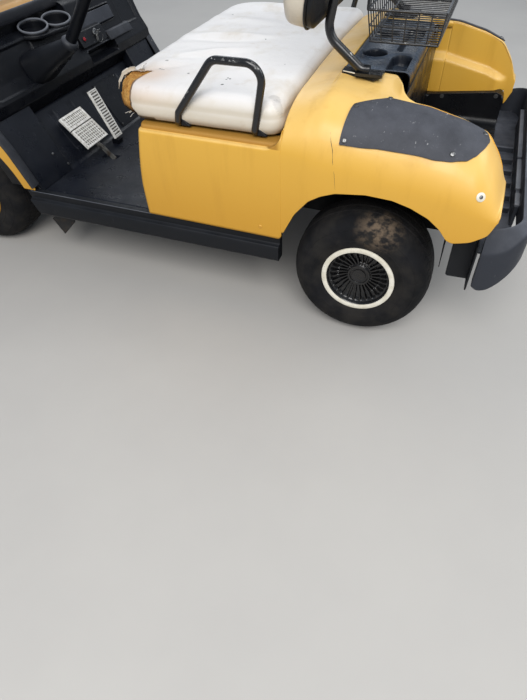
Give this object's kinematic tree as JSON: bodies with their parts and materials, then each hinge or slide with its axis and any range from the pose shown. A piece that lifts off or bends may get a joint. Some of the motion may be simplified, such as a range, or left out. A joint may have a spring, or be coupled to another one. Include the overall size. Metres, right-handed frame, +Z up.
{
  "type": "golf cart",
  "caption": "Two-seat golf cart with a moulded body, bench seat, bag well, wire basket, roof, steered front wheels and a seat that tips forward.",
  "frame": {"origin": "on the ground, under the middle of the cart's length and width", "axes": "+X forward along the cart's length, +Y to the driver's side on the left, +Z up"},
  "size_m": [2.42, 1.1964, 1.79],
  "materials": {
    "yellow_panel": "faded moulded yellow plastic",
    "black_panel": "grained black plastic",
    "floor_mat": "ribbed floor mat",
    "guard_plastic": "sun-faded grained plastic",
    "bumper_plastic": "sun-faded flexible plastic",
    "seat_vinyl": "dirty off-white vinyl, torn",
    "seat_board": "black board",
    "black_tube": "black enamel, scratched",
    "frame_steel": "black chassis paint",
    "axle_steel": "dusty bare casting",
    "engine_metal": "grey casting",
    "basket_wire": "black dipped wire",
    "roof_plastic": "off-white moulded plastic",
    "pedal_pad": "worn pale ribbed pad",
    "wheel_rubber": "moulded rubber grip",
    "tyre_rubber": "worn dusty tyre",
    "wheel_cover": "black wheel cover with a pale ring"
  },
  "bodies": {
    "cart": {"rear_body": "yellow_panel", "front_cowl": "yellow_panel", "guard_left": "guard_plastic", "guard_right": "guard_plastic", "chassis_frame": "frame_steel", "sill_left": "black_panel", "sill_right": "black_panel", "floor_pan": "floor_mat", "kick_panel": "black_panel", "dash_panel": "black_panel", "key_panel": "black_panel", "steering_column": "black_panel", "brake_pedal": "pedal_pad", "accelerator_pedal": "pedal_pad", "bag_tray": "black_panel", "well_liner": "black_panel", "flap_left": "black_panel", "flap_right": "black_panel", "rear_bumper": "bumper_plastic", "front_bumper": "bumper_plastic", "back_cushion": "seat_vinyl", "back_shell": "black_panel", "rear_frame": "black_tube", "front_posts": "black_tube", "roof": "roof_plastic", "basket": "basket_wire", "engine_block": "engine_metal", "rear_axle": "axle_steel", "front_axle": "axle_steel"},
    "steering_wheel": {"steering_wheel": "wheel_rubber"},
    "seat": {"seat_cushion": "seat_vinyl", "seat_board": "seat_board", "hip_loop_left": "black_tube", "hip_loop_right": "black_tube"},
    "knuckle_left": {"knuckle_left": "axle_steel"},
    "knuckle_right": {"knuckle_right": "axle_steel"},
    "tie_rod": {"tie_rod": "axle_steel"},
    "wheel_rl": {"tyre_rl": "tyre_rubber", "wheel_rl": "wheel_cover"},
    "wheel_rr": {"tyre_rr": "tyre_rubber", "wheel_rr": "wheel_cover"},
    "wheel_fl": {"tyre_fl": "tyre_rubber", "wheel_fl": "wheel_cover"},
    "wheel_fr": {"tyre_fr": "tyre_rubber", "wheel_fr": "wheel_cover"}
  },
  "joints": [
    {"name": "steering", "type": "hinge", "parent": "cart", "child": "steering_wheel", "pos_m": [0.463, 0.205, 0.736], "axis": [-0.6157, 0, 0.788], "range_deg": [-450, 450]},
    {"name": "steer_left", "type": "hinge", "parent": "cart", "child": "knuckle_left", "pos_m": [0.892, 0.35, 0.2285], "axis": [0, 0, 1], "range_deg": [-30, 30]},
    {"name": "steer_right", "type": "hinge", "parent": "cart", "child": "knuckle_right", "pos_m": [0.892, -0.35, 0.2285], "axis": [0, 0, 1], "range_deg": [-30, 30]},
    {"name": "tie_rod_swing", "type": "hinge", "parent": "knuckle_left", "child": "tie_rod", "pos_m": [0.777, 0.295, 0.1985], "axis": [0, 0, 1], "range_deg": [-30, 30]},
    {"name": "seat_lift", "type": "hinge", "parent": "cart", "child": "seat", "pos_m": [0.022, 0, 0.641], "axis": [0, 1, 0], "range_deg": [0, 70]},
    {"name": "spin_rl", "type": "hinge", "parent": "cart", "child": "wheel_rl", "pos_m": [-0.751, 0.49, 0.2285], "axis": [0, 1, 0], "continuous": true},
    {"name": "spin_rr", "type": "hinge", "parent": "cart", "child": "wheel_rr", "pos_m": [-0.751, -0.49, 0.2285], "axis": [0, 1, 0], "continuous": true},
    {"name": "spin_fl", "type": "hinge", "parent": "knuckle_left", "child": "wheel_fl", "pos_m": [0.892, 0.43, 0.2285], "axis": [0, 1, 0], "continuous": true},
    {"name": "spin_fr", "type": "hinge", "parent": "knuckle_right", "child": "wheel_fr", "pos_m": [0.892, -0.43, 0.2285], "axis": [0, 1, 0], "continuous": true}
  ],
  "couplings": [
    {"joint": "steer_left", "follows": "steering", "ratio": 0.066667},
    {"joint": "steer_right", "follows": "steering", "ratio": 0.066667},
    {"joint": "tie_rod_swing", "follows": "steering", "ratio": -0.066667}
  ]
}
